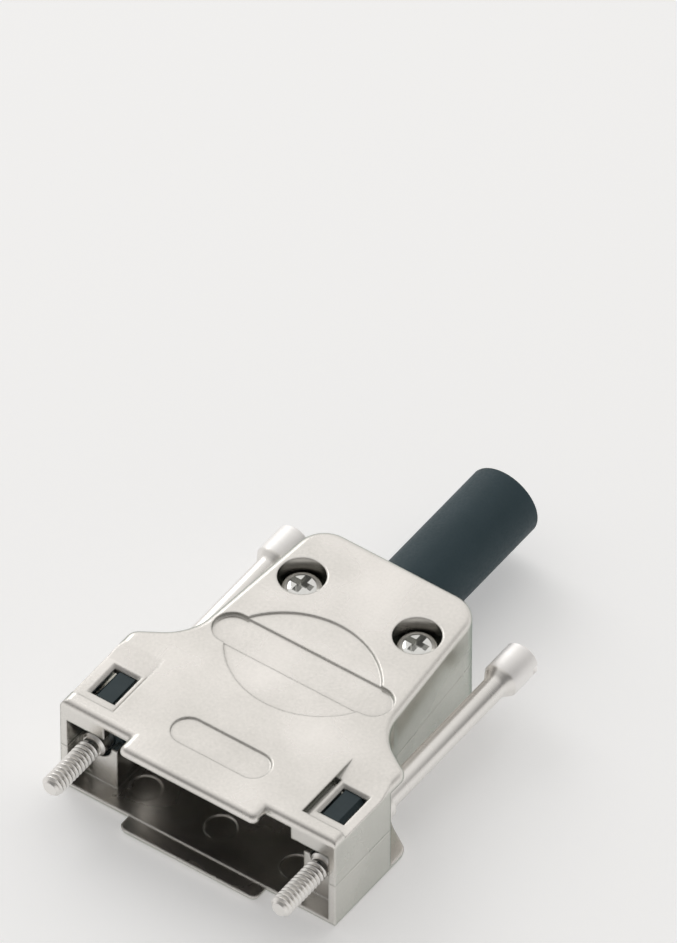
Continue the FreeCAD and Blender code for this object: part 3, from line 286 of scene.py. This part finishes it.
def shell_nickel():
    """Satin nickel over a sand-fine die-cast skin, faintly clouded and wavy."""
    surface = Surface("shell_nickel", metallic=1.0)
    surface.set("Specular Tint", (0.38, 0.46, 0.42, 1))
    surface.soften_edges(0.4 * MM)
    cloud = surface.noise(90, detail=4)
    grain = surface.noise(2600, detail=3, roughness=0.6)
    pores = surface.noise(700, detail=2)
    wave = surface.noise(80, detail=0)
    patches = surface.spread(surface.sum(cloud, grain, 0.6), 0, 1, centre=0.8, half=0.25)
    surface.tint(patches, (0.74, 0.718, 0.682), (0.85, 0.82, 0.785))
    # Painted shade: the shells' base colour darkens in their hollows, corners and recesses.
    surface.paint_shade_in_hollows(5 * MM, share=0.45)
    surface.rough(surface.spread(cloud, 0.20, 0.31))
    surface.relief(grain, 0.006 * MM, 0.5)
    surface.relief(pores, 0.015 * MM, 0.35)
    surface.relief(wave, 0.1 * MM, 0.5)
    return surface.material


def bright_nickel():
    """Bright plated steel, almost a mirror."""
    surface = Surface("bright_nickel", metallic=1.0)
    smear = surface.noise(900, detail=3)
    surface.tint_patches(smear, (0.70, 0.70, 0.68), (0.79, 0.79, 0.77))
    # Painted shade: the screws' base colour darkens faintly in their cross recesses.
    surface.paint_shade_in_hollows(1.5 * MM, share=0.15)
    surface.rough(surface.spread(smear, 0.06, 0.13))
    surface.relief(surface.noise(1500, detail=2), 0.01 * MM, 0.4)
    return surface.material


def strap_steel():
    """Pressed steel sheet with nickel plate and fine marks of the tool."""
    surface = Surface("strap_steel", metallic=1.0)
    surface.soften_edges(0.12 * MM)
    surface.tint_patches(surface.noise(300, detail=3), (0.64, 0.63, 0.60), (0.71, 0.70, 0.67))
    # Painted shade: the strap's base colour darkens in its hollows.
    surface.paint_shade_in_hollows(3 * MM)
    surface.rough(surface.spread(surface.noise(700, detail=3), 0.14, 0.26))
    surface.relief(surface.noise(1400, detail=2, stretch=(1, 0.15, 1)), 0.01 * MM, 0.5)
    return surface.material


def saddle_zinc():
    """Tumbled zinc, matt and evenly grey."""
    surface = Surface("saddle_zinc", metallic=1.0)
    surface.set("Roughness", 0.5)
    surface.soften_edges(0.2 * MM)
    grain = surface.noise(2200, detail=3)
    clouded = surface.sum(surface.noise(150), grain, 0.5)
    patches = surface.spread(clouded, 0, 1, centre=0.75, half=0.25)
    surface.tint(patches, (0.50, 0.51, 0.49), (0.66, 0.67, 0.65))
    # Painted shade: the saddle's base colour darkens in its hollows.
    surface.paint_shade_in_hollows(3 * MM)
    surface.relief(grain, 0.01 * MM, 0.6)
    return surface.material


def collar_nickel():
    """Nickel over a smoother casting than the shells."""
    surface = Surface("collar_nickel", metallic=1.0)
    surface.soften_edges(0.2 * MM)
    surface.tint_patches(surface.noise(300, detail=3), (0.62, 0.62, 0.59), (0.69, 0.69, 0.66))
    # Painted shade: the collars' base colour darkens in their hollows.
    surface.paint_shade_in_hollows(3 * MM)
    surface.rough(surface.spread(surface.noise(500, detail=3), 0.13, 0.27))
    surface.relief(surface.noise(900, detail=2), 0.02 * MM, 0.4)
    return surface.material


def jackscrew_nickel():
    """Turned steel with satin nickel, the faint rings of the lathe and paler, matt heads."""
    surface = Surface("jackscrew_nickel", metallic=1.0)
    rings = surface.noise(5000, detail=1, stretch=(0.02, 1, 0.02))
    along = surface.axis(surface.place, "Y")
    head = surface.spread(along, 0, 1, centre=JACK_HEAD_START, half=JACK_HEAD_BLUR)
    surface.tint(head, (0.84, 0.82, 0.79), (0.90, 0.885, 0.87))
    surface.rough(surface.sum(surface.spread(rings, 0.27, 0.34), head, 0.25))
    surface.relief(rings, 0.003 * MM, 0.4)
    return surface.material


def boot_rubber():
    """Moulded rubber with a dry, very fine skin."""
    surface = Surface("boot_rubber")
    surface.set("Specular IOR Level", 0.3)
    surface.soften_edges(0.3 * MM)
    grain = surface.noise(3000, detail=2)
    surface.tint_patches(surface.noise(200, detail=3), (0.022, 0.045, 0.055), (0.029, 0.054, 0.066))
    surface.rough(surface.spread(grain, 0.48, 0.62))
    surface.relief(grain, 0.02 * MM, 0.4)
    return surface.material


def clip_plastic():
    """Moulded dark plastic with a low gloss."""
    surface = Surface("clip_plastic")
    surface.set("Specular IOR Level", 0.35)
    surface.soften_edges(0.15 * MM)
    surface.tint_patches(surface.noise(250, detail=3), (0.016, 0.033, 0.039), (0.021, 0.040, 0.047))
    surface.rough(surface.spread(surface.noise(900, detail=3), 0.36, 0.5))
    surface.relief(surface.noise(1600, detail=2), 0.02 * MM, 0.4)
    return surface.material


def white_floor():
    """Matt white; the camera, metal and glass see it a little brighter than it is lit."""
    surface = Surface("white_floor")
    surface.set("Base Color", FLOOR_COLOUR)
    surface.set("Roughness", 0.7)
    surface.set("Specular IOR Level", 0.0)
    surface.set("Emission Color", (1, 1, 1, 1))
    rays = surface.add("ShaderNodeLightPath").outputs
    seen = surface.larger(rays["Is Camera Ray"], rays["Is Glossy Ray"])
    seen = surface.larger(seen, rays["Is Transmission Ray"])
    glow = surface.ramp(seen, 0, 1, 0, FLOOR_GLOW)
    surface.link(glow, surface.shader.inputs["Emission Strength"])
    return surface.material


def dress(names, material):
    """Give the pieces this material and no other."""
    for name in names:
        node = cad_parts[name]
        node.data.materials.clear()
        node.data.materials.append(material)


def dress_all():
    """Give every piece its material."""
    dress(("lower_shell", "cover"), shell_nickel())
    dress(PAN_HEADS, bright_nickel())
    dress(("strap",), strap_steel())
    dress(("saddle",), saddle_zinc())
    dress(("collar_lower", "collar_upper"), collar_nickel())
    dress(JACKSCREWS, jackscrew_nickel())
    dress(("boot",), boot_rubber())
    dress(("clip_left", "clip_right"), clip_plastic())


def thread_cutter(name, start, direction, length, thread):
    """A closed V-shaped helix that cuts a thread in a straight line from its start."""
    count = int(length / thread.pitch * STEPS_PER_TURN)
    reach = thread.crest + REACH * (thread.crest - thread.root)
    depth = thread.crest - thread.root
    direction = Vector(direction)
    flank = direction * (HALF_WIDTH * thread.pitch * (reach - thread.root) / depth)
    side = direction.orthogonal().normalized()
    other = direction.cross(side)
    grid = bmesh.new()
    rings = []
    for i in range(count + 1):
        angle = 2 * math.pi * i / STEPS_PER_TURN
        out = side * math.cos(angle) + other * math.sin(angle)
        centre = Vector(start) + direction * (i / STEPS_PER_TURN * thread.pitch)
        corners = (out * thread.root, out * reach + flank, out * reach - flank)
        rings.append([grid.verts.new(centre + corner) for corner in corners])
    for low, high in zip(rings, rings[1:]):
        for j in range(3):
            k = (j + 1) % 3
            grid.faces.new((low[j], low[k], high[k], high[j]))
    grid.faces.new(rings[0])
    grid.faces.new(list(reversed(rings[-1])))
    bmesh.ops.recalc_face_normals(grid, faces=grid.faces)
    mesh = bpy.data.meshes.new(name)
    grid.to_mesh(mesh)
    grid.free()
    return add_object(name, mesh)


def shade_by_angle(mesh):
    """Smooth shading, with sharp edges where faces meet at more than the sharp angle."""
    grid = bmesh.new()
    grid.from_mesh(mesh)
    bmesh.ops.remove_doubles(grid, verts=grid.verts, dist=WELD)
    grid.to_mesh(mesh)
    grid.free()
    for face in mesh.polygons:
        face.use_smooth = True
    mesh.set_sharp_from_angle(angle=SHARP_ANGLE)


def cut_threads(node_name, cutters):
    """Replace a piece by the same piece with its threads cut."""
    copy = add_object(node_name + "_threaded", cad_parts[node_name].data.copy())
    # The stored normals of the uncut mesh would spoil the shading of the cut one
    stored = copy.data.attributes.get("custom_normal")
    if stored:
        copy.data.attributes.remove(stored)
    for cutter in cutters:
        cut = copy.modifiers.new("thread", "BOOLEAN")
        cut.operation = "DIFFERENCE"
        cut.solver = "EXACT"
        cut.object = cutter
    graph = bpy.context.evaluated_depsgraph_get()
    mesh = bpy.data.meshes.new_from_object(copy.evaluated_get(graph))
    copy.modifiers.clear()
    copy.data = mesh
    for cutter in cutters:
        bpy.data.objects.remove(cutter)
    shade_by_angle(mesh)
    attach(copy, node_name)
    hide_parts(node_name)


def middle(low, high, axis):
    """The middle of a box along one axis."""
    return (low[axis] + high[axis]) / 2


def thread_pan_heads():
    """Threads on the pan-head screws, and in the bosses of the lower shell below them."""
    shell_low, shell_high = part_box("lower_shell")
    hole_start = shell_low[2] + HOLE_FLOOR + HOLE_THREAD.pitch
    hole_length = shell_high[2] - hole_start
    hole_cutters = []
    for name in PAN_HEADS:
        low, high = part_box(name)
        x = middle(low, high, 0)
        y = middle(low, high, 1)
        length = high[2] - low[2] - HEAD_HEIGHT - PLAIN_NECK
        start = (x, y, low[2] - RUN_OUT)
        cutter = thread_cutter("cutter_" + name, start, UPWARD, length, SCREW_THREAD)
        cut_threads(name, [cutter])
        start = (x, y, hole_start)
        hole = thread_cutter("hole_" + name, start, UPWARD, hole_length, HOLE_THREAD)
        hole_cutters.append(hole)
    cut_threads("lower_shell", hole_cutters)


def thread_jackscrews():
    """Threads on the tips of the jackscrews."""
    for name in JACKSCREWS:
        low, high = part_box(name)
        start = (middle(low, high, 0), low[1] - RUN_OUT, middle(low, high, 2))
        cutter = thread_cutter("cutter_" + name, start, ALONG, JACK_THREAD_LENGTH, JACK_THREAD)
        cut_threads(name, [cutter])


def make_floor():
    """A wide round floor under the hood."""
    bpy.ops.mesh.primitive_circle_add(vertices=FLOOR_SIDES, radius=FLOOR_RADIUS, fill_type="NGON")
    floor = bpy.context.object
    floor.name = "floor"
    floor.data.materials.append(white_floor())


def make_room():
    """The light from all round, from bright at the rear and overhead to dim at the camera."""
    world = bpy.data.worlds.new("room")
    world.use_nodes = True
    bpy.context.scene.world = world
    room = Nodes(world.node_tree)
    background = room.tree.nodes["Background"]
    background.inputs["Color"].default_value = ROOM_COLOUR
    view = room.add("ShaderNodeTexCoord").outputs["Generated"]
    rear = Vector((-math.sin(AZIMUTH), math.cos(AZIMUTH), 0))
    rise = room.add("ShaderNodeVectorMath", operation="DOT_PRODUCT")
    rise.inputs[1].default_value = (rear + Vector(UPWARD)).normalized()
    room.link(view, rise.inputs[0])
    dome = room.ramp(rise.outputs["Value"], DIM_BELOW, BRIGHT_ABOVE, DIM_LEVEL, BRIGHT_LEVEL)
    band = room.ramp(room.axis(view, "Z"), BAND_TOP, BAND_FADE, BAND_LEVEL, 0)
    room.link(room.larger(dome, band), background.inputs["Strength"])


def make_lamp():
    """A large soft box at the rear left."""
    data = bpy.data.lights.new("rear_left_box", "AREA")
    data.shape = "DISK"
    data.size = LAMP_SIZE
    data.energy = LAMP_WATTS
    lamp = add_object("rear_left_box", data)
    lamp.location = LAMP_PLACE
    lamp.rotation_euler = (LAMP_TARGET - LAMP_PLACE).to_track_quat("-Z", "Y").to_euler()


def main():
    make_camera()
    make_room()
    make_lamp()
    make_floor()
    dress_all()
    thread_pan_heads()
    thread_jackscrews()
    bpy.context.scene.view_settings.view_transform = "Standard"


main()
